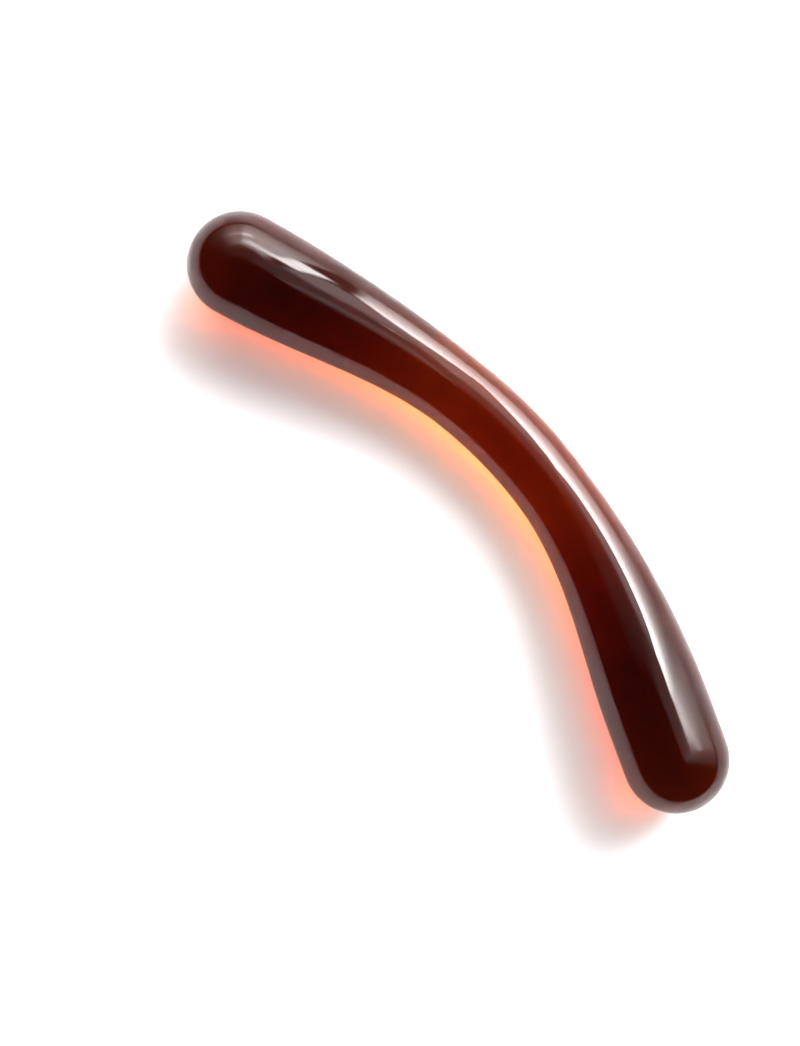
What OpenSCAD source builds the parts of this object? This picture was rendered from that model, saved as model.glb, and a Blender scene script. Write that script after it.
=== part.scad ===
// Curved glass wand
//
// One solid piece of polished glass: a round rod, bowed in one plane, with a full round bulb at
// each end and a slimmer waist in the middle of the bow.
//
// It lies on a flat surface on its two bulbs, leaning over until the belly of the bow is just clear
// of the surface. +X runs along the wand from the left bulb to the right bulb, +Y is the outer side
// of the bow, and +Z is up. The origin is at the middle of its box, on the surface it lies on.
// All lengths are in millimetres and all angles in degrees.

/* [Size] */
// Length from tip to tip, measured along the middle of the curve
wand_length = 200; // [180:1:220]
// Diameter of the bulb at each end
bulb_diameter = 27; // [24:0.5:30]
// Diameter at the slimmest part of the waist
waist_diameter = 19; // [16:0.5:22]

/* [Bulbs] */
// Full-width run of the left bulb, from the centre of its round end
left_bulb_run = 1; // [0:0.5:14]
// Full-width run of the right bulb, from the centre of its round end
right_bulb_run = 12; // [0:0.5:14]
// Length over which each bulb slims down to the waist
taper_length = 66; // [50:1:70]

/* [Bow] */
// Angle between the two straight ends of the wand
bow_angle = 43; // [30:1:50]
// Length of the curved stretch, along the middle of the wand
bow_length = 131; // [100:1:140]
// Distance of the middle of the curved stretch from the middle of the wand, towards the right
bow_shift = 1; // [-3:0.5:3]

/* [Smoothness] */
// Number of facets round the wand
sides = 48; // [24:4:64]
// Number of steps from ring to ring along the wand, between the centres of its round ends
ring_steps = 54; // [36:2:72]
// Number of steps over each round end, from its pole to the full width
cap_steps = 10; // [6:1:14]

/* [Hidden] */

// Amber glass, seen through its full thickness
glass_colour = [0.42, 0.12, 0.05];

bulb_radius = bulb_diameter / 2;
waist_radius = waist_diameter / 2;
// The spine is the middle line between the centres of the two round ends
spine_length = wand_length - bulb_diameter;
bow_middle = spine_length / 2 + bow_shift;
// The spine is worked out in short steps, a few of them to each step between rings
fine_per_ring = 6;
fine_steps = ring_steps * fine_per_ring;
fine_step = spine_length / fine_steps;

// A smooth rise from 0 to 1 as x goes from 0 to 1, level at both ends
function smooth_rise(x) =
    let (t = min(max(x, 0), 1))
    t * t * (3 - 2 * t);

// Radius of the glass at a distance along the spine from its left end
function radius_at(distance) =
    let (left_taper = smooth_rise((distance - left_bulb_run) / taper_length))
    let (right_taper = smooth_rise((spine_length - distance - right_bulb_run) / taper_length))
    waist_radius + (bulb_radius - waist_radius) * (2 - left_taper - right_taper);

// Heading of the spine at a distance from its left end: straight, then turning, then straight
function heading_at(distance) =
    bow_angle * (0.5 - smooth_rise((distance - bow_middle) / bow_length + 0.5));

function unit(v) = v / norm(v);
function turned(v, angle) =
    [v.x * cos(angle) - v.y * sin(angle), v.x * sin(angle) + v.y * cos(angle)];

// The spine in the plane of the bow, each short step taken at its own heading
first_spine = [
    for (i = 0, p = [0, 0]; i <= fine_steps;
         p = p + turned([fine_step, 0], heading_at((i + 0.5) * fine_step)), i = i + 1)
    p
];
// Turned level, so that both ends are the same distance in from the belly of the bow
level_turn = -atan2(first_spine[fine_steps].y, first_spine[fine_steps].x);
spine = [for (p = first_spine) turned(p, level_turn)];
radii = [for (i = [0 : fine_steps]) radius_at(i * fine_step)];

// A ring is its centre in the plane of the bow, its heading and its radius
body_rings = [
    for (i = [0 : fine_per_ring : fine_steps])
    [spine[i], heading_at(i * fine_step) + level_turn, radii[i]]
];
left_ring = body_rings[0];
right_ring = body_rings[ring_steps];

// A point beyond an end ring's centre by so many bulb radii; side is -1 on the left, 1 on the right
function beyond(end_ring, side, reach) =
    end_ring[0] + turned([side * reach * end_ring[2], 0], end_ring[1]);

// Rings of a round end, from beside its pole to just short of the full width
function cap_rings(end_ring, side) = [
    for (i = [1 : cap_steps - 1])
    let (lean = 90 * i / cap_steps)
    [beyond(end_ring, side, cos(lean)), end_ring[1], end_ring[2] * sin(lean)]
];
left_cap = cap_rings(left_ring, -1);
right_cap = cap_rings(right_ring, 1);
rings = concat(left_cap, body_rings, [for (i = [cap_steps - 2 : -1 : 0]) right_cap[i]]);

// Centre of mass in the plane of the bow: a disc at every short step and a half ball at each end.
// A half ball is 2/3 of a cylinder of its own height, and balances at 3/8 of its radius.
disc_weights = [for (r = radii) r * r * fine_step];
half_ball_weight = bulb_radius ^ 3 * 2 / 3;
half_ball_reach = 3 / 8;
weights = concat(disc_weights, [half_ball_weight, half_ball_weight]);
weighed_points = concat(
    spine,
    [beyond(left_ring, -1, half_ball_reach), beyond(right_ring, 1, half_ball_reach)]
);
centre_of_mass = weights * weighed_points / (weights * [for (w = weights) 1]);

// How the wand lies. The surface is a plane under it, w = a + slope * [u, v] in the bow's own axes,
// that touches its left half and its right half. touching() finds where it touches a half.
half = fine_steps / 2;
function clearance(i, slope) = -radii[i] * norm([slope.x, slope.y, 1]) - slope * spine[i];
function touching(first, slope) =
    let (gaps = [for (i = [first : first + half]) clearance(i, slope)])
    first + search(min(gaps), gaps)[0];

// The wand rolls until its centre of mass is over the line between the places where it touches.
// Each pass halves the range that holds the roll, and levels the wand from end to end.
roll_limit = 1;
rest_passes = 20;
function rest_slope(low = 0, high = roll_limit, pitch = 0, passes = rest_passes) =
    let (roll = (low + high) / 2)
    let (left = touching(0, [pitch, roll]))
    let (right = touching(half, [pitch, roll]))
    let (line = spine[right] - spine[left])
    let (rise = (radii[left] - radii[right]) * norm([pitch, roll, 1]))
    let (level_pitch = (rise - roll * line.y) / line.x)
    passes == 0 ? [level_pitch, roll] :
    cross(line, centre_of_mass - spine[left]) > 0
        ? rest_slope(roll, high, level_pitch, passes - 1)
        : rest_slope(low, roll, level_pitch, passes - 1);

rest = rest_slope();
rest_up = unit([-rest.x, -rest.y, 1]);
rest_along = unit([1, 0, 0] - rest_up.x * rest_up);
rest_across = cross(rest_up, rest_along);
function lying(p) = [rest_along * p, rest_across * p, rest_up * p];

// Points: the left pole, every ring in turn, and the right pole
function in_plane(p) = [p.x, p.y, 0];
function ring_points(ring) = [
    for (i = [0 : sides - 1])
    let (round_angle = 360 * i / sides)
    let (outward = turned([0, ring[2] * cos(round_angle)], ring[1]))
    [ring[0].x + outward.x, ring[0].y + outward.y, ring[2] * sin(round_angle)]
];
loose_points = concat(
    [in_plane(beyond(left_ring, -1, 1))],
    [for (ring = rings) each ring_points(ring)],
    [in_plane(beyond(right_ring, 1, 1))]
);
lying_points = [for (p = loose_points) lying(p)];

// The middle of the wand's box goes over the origin, and its lowest point to the surface
all_x = [for (p = lying_points) p.x];
all_y = [for (p = lying_points) p.y];
all_z = [for (p = lying_points) p.z];
origin_shift = [(min(all_x) + max(all_x)) / 2, (min(all_y) + max(all_y)) / 2, min(all_z)];
wand_points = [for (p = lying_points) p - origin_shift];

// Faces: a fan at each pole, and two triangles for each facet between neighbouring rings
last_ring = len(rings) - 1;
right_pole_index = len(rings) * sides + 1;
function at(ring, side) = 1 + ring * sides + side % sides;
left_fan = [for (i = [0 : sides - 1]) [0, at(0, i), at(0, i + 1)]];
right_fan = [for (i = [0 : sides - 1]) [right_pole_index, at(last_ring, i + 1), at(last_ring, i)]];
skin = [
    for (ring = [0 : last_ring - 1], i = [0 : sides - 1])
    each [
        [at(ring, i), at(ring + 1, i), at(ring + 1, i + 1)],
        [at(ring, i), at(ring + 1, i + 1), at(ring, i + 1)]
    ]
];

// The whole wand: one closed, solid piece of glass
module glass_wand() {
    color(glass_colour)
    polyhedron(points = wand_points, faces = concat(left_fan, skin, right_fan), convexity = 4);
}

glass_wand();
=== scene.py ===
import math

import bpy
import numpy as np
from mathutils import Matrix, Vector


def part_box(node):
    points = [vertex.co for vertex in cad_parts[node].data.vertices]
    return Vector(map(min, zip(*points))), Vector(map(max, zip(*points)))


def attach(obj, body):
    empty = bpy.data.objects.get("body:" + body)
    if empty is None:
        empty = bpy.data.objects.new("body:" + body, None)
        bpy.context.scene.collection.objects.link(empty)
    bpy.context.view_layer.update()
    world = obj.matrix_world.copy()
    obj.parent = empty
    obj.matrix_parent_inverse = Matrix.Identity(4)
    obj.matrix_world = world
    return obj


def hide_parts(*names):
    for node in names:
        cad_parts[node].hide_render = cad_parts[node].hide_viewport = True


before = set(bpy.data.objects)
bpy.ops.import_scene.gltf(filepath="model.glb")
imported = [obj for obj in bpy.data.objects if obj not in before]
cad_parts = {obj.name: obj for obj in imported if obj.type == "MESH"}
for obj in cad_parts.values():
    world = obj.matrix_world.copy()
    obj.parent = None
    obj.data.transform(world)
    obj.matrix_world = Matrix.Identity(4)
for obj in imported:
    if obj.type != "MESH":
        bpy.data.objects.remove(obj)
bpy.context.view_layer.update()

MM = 0.001

# The wand's driving dimensions, the same as the CAD model's
WAND_LENGTH = 200 * MM
BULB_RADIUS = 13.5 * MM
WAIST_RADIUS = 9.5 * MM
LEFT_BULB_RUN = 1 * MM
RIGHT_BULB_RUN = 12 * MM
TAPER_LENGTH = 66 * MM
BOW_ANGLE = math.radians(43)
BOW_LENGTH = 131 * MM
BOW_SHIFT = 1 * MM
# Slope of the surface under the wand in the bow's own axes: from end to end, and across the bow
REST_SLOPE = (-0.00815, 0.2246)

SPINE_LENGTH = WAND_LENGTH - 2 * BULB_RADIUS
BOW_MIDDLE = SPINE_LENGTH / 2 + BOW_SHIFT

# Amber glass: how fast it takes up red, green and blue light, per metre
GLASS_IOR = 1.5
ABSORPTION = (92, 178, 400)
# Its polish is faintly uneven: the roughness of its dullest spots, and how fine the spots are
DULLEST = 0.02
SPOT_SCALE = 70

# Fineness of the visible mesh
SIDES = 160
SPINE_STEPS = 420
CAP_STEPS = 48


def smooth_rise(x):
    """0 to 1 as x goes from 0 to 1, level at both ends."""
    t = np.clip(x, 0, 1)
    return t * t * (3 - 2 * t)


def radius_at(distance):
    left_taper = smooth_rise((distance - LEFT_BULB_RUN) / TAPER_LENGTH)
    right_taper = smooth_rise((SPINE_LENGTH - distance - RIGHT_BULB_RUN) / TAPER_LENGTH)
    return WAIST_RADIUS + (BULB_RADIUS - WAIST_RADIUS) * (2 - left_taper - right_taper)


def heading_at(distance):
    return BOW_ANGLE * (0.5 - smooth_rise((distance - BOW_MIDDLE) / BOW_LENGTH + 0.5))


def spine():
    """Distances, points in the plane of the bow, and headings along the wand's middle line."""
    distance = np.linspace(0, SPINE_LENGTH, SPINE_STEPS + 1)
    step = SPINE_LENGTH / SPINE_STEPS
    middle = heading_at(distance[:-1] + step / 2)
    hops = step * np.stack([np.cos(middle), np.sin(middle)], 1)
    points = np.vstack([[0, 0], np.cumsum(hops, 0)])
    turn = -math.atan2(points[-1, 1], points[-1, 0])
    spin = np.array([[math.cos(turn), -math.sin(turn)], [math.sin(turn), math.cos(turn)]])
    return distance, points @ spin.T, heading_at(distance) + turn


def stations():
    """Ring centres, headings and radii from the left pole to the right pole, poles left out."""
    distance, points, headings = spine()
    radii = radius_at(distance)
    lean = np.linspace(0, math.pi / 2, CAP_STEPS + 1)[1:-1]
    left = np.array([math.cos(headings[0]), math.sin(headings[0])])
    right = np.array([math.cos(headings[-1]), math.sin(headings[-1])])
    left_cap = points[0] - np.outer(np.cos(lean), left) * BULB_RADIUS
    right_cap = points[-1] + np.outer(np.cos(lean[::-1]), right) * BULB_RADIUS
    cap_radii = BULB_RADIUS * np.sin(lean)
    return (
        np.vstack([left_cap, points, right_cap]),
        np.concatenate([np.full(len(lean), headings[0]), headings, np.full(len(lean), headings[-1])]),
        np.concatenate([cap_radii, radii, cap_radii[::-1]]),
        points[0] - left * BULB_RADIUS,
        points[-1] + right * BULB_RADIUS,
    )


def lying(points):
    """Points in the bow's own axes, turned to how the wand lies."""
    up = np.array([-REST_SLOPE[0], -REST_SLOPE[1], 1])
    up /= np.linalg.norm(up)
    along = np.array([1, 0, 0]) - up[0] * up
    along /= np.linalg.norm(along)
    return points @ np.stack([along, np.cross(up, along), up]).T


def wand_points():
    centres, headings, radii, left_pole, right_pole = stations()
    around = np.linspace(0, 2 * math.pi, SIDES, endpoint=False)
    across = np.stack([-np.sin(headings), np.cos(headings)], 1)
    flat = centres[:, None] + (radii[:, None] * np.cos(around))[..., None] * across[:, None]
    rings = np.dstack([flat, radii[:, None] * np.sin(around)]).reshape(-1, 3)
    points = lying(np.vstack([[*left_pole, 0], rings, [*right_pole, 0]]))
    # The middle of its box goes where the middle of the CAD model's box is
    low, high = (np.array(corner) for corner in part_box("glass_wand"))
    points -= (points.max(0) + points.min(0)) / 2 - (low + high) / 2
    return points, len(radii)


def wand_faces(rings):
    """Quads between neighbouring rings and a fan at each pole, all facing out."""
    last = rings * SIDES + 1
    side = np.arange(SIDES)
    after = (side + 1) % SIDES
    quads = []
    for ring in range(rings - 1):
        here, there = 1 + ring * SIDES, 1 + (ring + 1) * SIDES
        quads += np.stack([here + side, here + after, there + after, there + side], 1).tolist()
    left_fan = np.stack([np.zeros_like(side), 1 + after, 1 + side], 1).tolist()
    end = 1 + (rings - 1) * SIDES
    right_fan = np.stack([np.full_like(side, last), end + side, end + after], 1).tolist()
    return left_fan + quads + right_fan


def make_wand():
    points, rings = wand_points()
    mesh = bpy.data.meshes.new("wand")
    mesh.from_pydata(points.tolist(), [], wand_faces(rings))
    mesh.polygons.foreach_set("use_smooth", [True] * len(mesh.polygons))
    wand = bpy.data.objects.new("wand", mesh)
    bpy.context.scene.collection.objects.link(wand)
    return wand


def amber_glass():
    """Amber all through, with a faint unevenness in its polish, as hands and cloths leave it."""
    material = bpy.data.materials.new("amber_glass")
    material.use_nodes = True
    nodes, links = material.node_tree.nodes, material.node_tree.links
    shader = nodes["Principled BSDF"]
    shader.inputs["Base Color"].default_value = (1, 1, 1, 1)
    shader.inputs["IOR"].default_value = GLASS_IOR
    shader.inputs["Transmission Weight"].default_value = 1
    place = nodes.new("ShaderNodeTexCoord")
    smudges = nodes.new("ShaderNodeTexNoise")
    smudges.inputs["Scale"].default_value = SPOT_SCALE
    smudges.inputs["Detail"].default_value = 3
    links.new(place.outputs["Object"], smudges.inputs["Vector"])
    polish = nodes.new("ShaderNodeMapRange")
    polish.inputs["From Min"].default_value = 0.5
    polish.inputs["From Max"].default_value = 0.8
    polish.inputs["To Min"].default_value = 0.0
    polish.inputs["To Max"].default_value = DULLEST
    links.new(smudges.outputs["Fac"], polish.inputs["Value"])
    links.new(polish.outputs["Result"], shader.inputs["Roughness"])
    absorption = nodes.new("ShaderNodeVolumeAbsorption")
    densest = max(ABSORPTION)
    absorption.inputs["Color"].default_value = (*(round(1 - a / densest, 3) for a in ABSORPTION), 1)
    absorption.inputs["Density"].default_value = densest
    links.new(absorption.outputs["Volume"], nodes["Material Output"].inputs["Volume"])
    return material


# The studio. Directions are in degrees: an azimuth from the picture's right, turning towards its
# top, and a zenith angle from straight up. Glow is in parts of a fully lit white sheet.
PICTURE_TURN = math.radians(48.67)
CAMERA_PLACE = (-0.0075, -0.0219, 0.7442)
CAMERA_LENS = 100
CAMERA_SENSOR = 36
SCRIM_DISTANCE = 6
LAMP_DISTANCE = 1.6
SHEET_SIZE = (0.5, 1.4)
SHEET_MIDDLE = 0.1
SHEET_COLOUR = (0.85, 0.85, 0.86, 1)
# The sheet lies just under the wand, so that neither cuts the other
SHEET_DROP = 0.05 * MM
# The room where there is no scrim, as the glass mirrors it. The camera sees plain white there.
ROOM_COLOUR = (0.03, 0.03, 0.03, 1)
# Contrast of the picture
EXPOSURE = 1.0
GAMMA = 0.8
# The glows below were judged without that contrast. This and GAMMA turn them into strengths.
GLOW_AT_WHITE = 0.956

# The tall window: zeniths along its sides, and the azimuths of its left and right side there.
# Left is where azimuths are lower.
LEFT_SIDE = ([36, 54, 90], [24.3, 21.2, 18.8])
RIGHT_SIDE = ([40, 48, 56, 66, 90], [38, 40, 45, 50, 54])


def edge(x, at, width):
    """0 below an edge and 1 above it, softened over a width."""
    return smooth_rise((x - at) / width + 0.5)


def band(x, middle, width):
    """A soft bump, 1 in its middle and 0 beyond its width on each side."""
    return smooth_rise(1 - abs(x - middle) / width)


def fading(zenith, start, halving):
    """1 down to a zenith angle, and below it half as much with every so many degrees."""
    return 0.5 ** (np.maximum(zenith - start, 0) / halving)


def main_light(azimuth, zenith):
    """A tall window with slanting sides, hot towards its right and fading down to the table."""
    left = np.interp(zenith, *LEFT_SIDE)
    right = np.interp(zenith, *RIGHT_SIDE)
    top = 35.5 + 3 * edge(azimuth, 34, 8)
    inside = edge(azimuth, left, 1) * (1 - edge(azimuth, right, 1)) * edge(zenith, top, 1.5)
    # Half as hot with every 12 degrees further down, and capped near its top
    heat = (4 + 19 * edge(azimuth, 35, 18)) * 0.5 ** ((zenith - 60) / 12)
    cap = 10 + 25 * edge(azimuth, 32, 14)
    return inside * np.minimum(heat, cap)


def side_light(azimuth, zenith):
    """A dimmer window beside it, with a bar along its top, another lower down and a bright jamb."""
    top = 44.8 - 3 * edge(azimuth, 75, 40)
    inside = edge(azimuth, 56, 1) * (1 - 0.6 * edge(azimuth, 85, 10) - 0.4 * edge(azimuth, 112, 40))
    bar = 12.5 * edge(zenith, top, 1.5) * fading(zenith, top + 7, 3.5)
    bar *= 1 - 0.5 * edge(azimuth, 72, 24)
    lower_bar = 8 * band(zenith, 64.5, 4) * edge(azimuth, 66, 10)
    body = 5.6 * edge(zenith, top, 2) * fading(zenith, 70, 14)
    shade = 4.0 * edge(zenith, 38, 8) * (1 - edge(zenith, top, 2))
    jamb = edge(azimuth, 51.3 + 0.05 * (zenith - 50), 1) * (1 - edge(azimuth, 56, 1.5))
    jamb *= 18 * edge(zenith, 46, 4) * (1 - edge(zenith, 68, 8))
    return inside * (np.maximum(bar, body) + lower_bar + shade) + jamb


def studio_glow(azimuth, zenith):
    """Glow of the whole studio: both windows, the spill beside and between them, and a faint veil."""
    spill = 0.6 * edge(azimuth, 12, 10) * (1 - edge(azimuth, 26, 4))
    gap = 2.0 * edge(zenith, 36, 8) * edge(azimuth, 40, 6) * (1 - edge(azimuth, 51, 1))
    gap *= 1 - edge(zenith, 62, 6)
    veil = 0.5 - 0.3 * edge(azimuth, 50, 14)
    veil *= edge(zenith, 14, 14) * edge(azimuth, -5, 20) * (1 - edge(azimuth, 140, 40))
    glow = main_light(azimuth, zenith) + side_light(azimuth, zenith) + spill + gap + veil
    return GLOW_AT_WHITE * glow**GAMMA


def direction(azimuth, zenith):
    """Unit vectors towards directions of the picture, in the scene's own axes."""
    turn, tilt = np.radians(azimuth) + PICTURE_TURN, np.radians(zenith)
    return np.stack([np.cos(turn) * np.sin(tilt), np.sin(turn) * np.sin(tilt), np.cos(tilt)], -1)


def scrim_material():
    material = bpy.data.materials.new("scrim")
    material.use_nodes = True
    nodes, links = material.node_tree.nodes, material.node_tree.links
    nodes.clear()
    read = nodes.new("ShaderNodeAttribute")
    read.attribute_name = "glow"
    emission = nodes.new("ShaderNodeEmission")
    links.new(read.outputs["Fac"], emission.inputs["Strength"])
    output = nodes.new("ShaderNodeOutputMaterial")
    links.new(emission.outputs[0], output.inputs["Surface"])
    return material


def make_scrim():
    """A curved scrim round the lit side that glows towards the wand and that the camera doesn't see."""
    # Fine where the windows have sharp edges, and coarse elsewhere
    azimuths = np.concatenate([np.arange(-15, 20, 2.5), np.arange(20, 60, 0.5), np.arange(60, 155, 2)])
    zeniths = np.concatenate([np.arange(12, 36, 3), np.arange(36, 92, 0.7)])
    azimuth, zenith = np.meshgrid(azimuths, zeniths, indexing="ij")
    points = direction(azimuth, zenith).reshape(-1, 3) * SCRIM_DISTANCE
    index = np.arange(azimuth.size).reshape(azimuth.shape)
    corners = [index[:-1, :-1], index[1:, :-1], index[1:, 1:], index[:-1, 1:]]
    faces = np.stack([corner.ravel() for corner in corners], 1)
    mesh = bpy.data.meshes.new("scrim")
    mesh.from_pydata(points.tolist(), [], faces.tolist())
    glow = mesh.attributes.new("glow", "FLOAT", "POINT")
    glow.data.foreach_set("value", studio_glow(azimuth, zenith).ravel().astype(np.float32))
    mesh.materials.append(scrim_material())
    scrim = bpy.data.objects.new("scrim", mesh)
    bpy.context.scene.collection.objects.link(scrim)
    scrim.visible_camera = False


def make_camera():
    """Straight above the wand, looking down."""
    data = bpy.data.cameras.new("camera")
    camera = bpy.data.objects.new("camera", data)
    bpy.context.scene.collection.objects.link(camera)
    data.lens = CAMERA_LENS
    data.sensor_width = CAMERA_SENSOR
    camera.location = CAMERA_PLACE
    camera.rotation_euler = (0, 0, PICTURE_TURN)
    bpy.context.scene.camera = camera


def make_floor():
    bpy.ops.mesh.primitive_plane_add(size=1, location=(0, SHEET_MIDDLE, -SHEET_DROP))
    floor = bpy.context.object
    floor.name = "white_sheet"
    floor.scale = (*SHEET_SIZE, 1)
    material = bpy.data.materials.new("white_sheet")
    material.use_nodes = True
    shader = material.node_tree.nodes["Principled BSDF"]
    shader.inputs["Base Color"].default_value = SHEET_COLOUR
    shader.inputs["Roughness"].default_value = 0.9
    shader.inputs["Specular IOR Level"].default_value = 0.1
    floor.data.materials.append(material)


def make_world():
    world = bpy.data.worlds.new("room")
    bpy.context.scene.world = world
    world.use_nodes = True
    nodes, links = world.node_tree.nodes, world.node_tree.links
    nodes.clear()
    path = nodes.new("ShaderNodeLightPath")
    mix = nodes.new("ShaderNodeMix")
    mix.data_type = "RGBA"
    mix.inputs["A"].default_value = ROOM_COLOUR
    mix.inputs["B"].default_value = (1, 1, 1, 1)
    links.new(path.outputs["Is Camera Ray"], mix.inputs["Factor"])
    background = nodes.new("ShaderNodeBackground")
    links.new(mix.outputs["Result"], background.inputs["Color"])
    output = nodes.new("ShaderNodeOutputWorld")
    links.new(background.outputs[0], output.inputs["Surface"])


def soft_light(name, azimuth, zenith, size, power, past_glass, through_glass):
    """A soft light that isn't mirrored in the glass. It may shine past it, through it, or both."""
    data = bpy.data.lights.new(name, "AREA")
    data.size = size
    data.energy = power
    light = bpy.data.objects.new(name, data)
    bpy.context.scene.collection.objects.link(light)
    away = Vector(direction(azimuth, zenith))
    light.location = away * LAMP_DISTANCE
    light.rotation_mode = "QUATERNION"
    light.rotation_quaternion = away.to_track_quat("Z", "Y")
    light.visible_camera = False
    light.visible_glossy = False
    light.visible_diffuse = past_glass
    light.visible_transmission = through_glass


def make_lights():
    """The light on the sheet and the light in the glass come from separate lamps."""
    soft_light("fill", 225, 12, size=1.2, power=5.6, past_glass=True, through_glass=False)
    soft_light("key", 50, 65, size=1.4, power=12, past_glass=True, through_glass=False)
    soft_light("amber_glow", 46, 36, size=0.5, power=150, past_glass=False, through_glass=True)
    soft_light("back_glow", 245, 20, size=0.9, power=28, past_glass=False, through_glass=True)


def render_settings():
    scene = bpy.context.scene
    scene.view_settings.view_transform = "Standard"
    scene.view_settings.exposure = EXPOSURE
    scene.view_settings.gamma = GAMMA
    scene.cycles.use_denoising = True
    scene.cycles.max_bounces = 24
    scene.cycles.transmission_bounces = 20
    scene.cycles.glossy_bounces = 8
    scene.cycles.diffuse_bounces = 4
    scene.cycles.volume_bounces = 0
    scene.cycles.sample_clamp_indirect = 0
    scene.cycles.caustics_reflective = True
    scene.cycles.caustics_refractive = True


make_camera()
render_settings()
make_world()
make_floor()
make_scrim()
make_lights()
wand = make_wand()
wand.data.materials.append(amber_glass())
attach(wand, "root")
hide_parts("glass_wand")
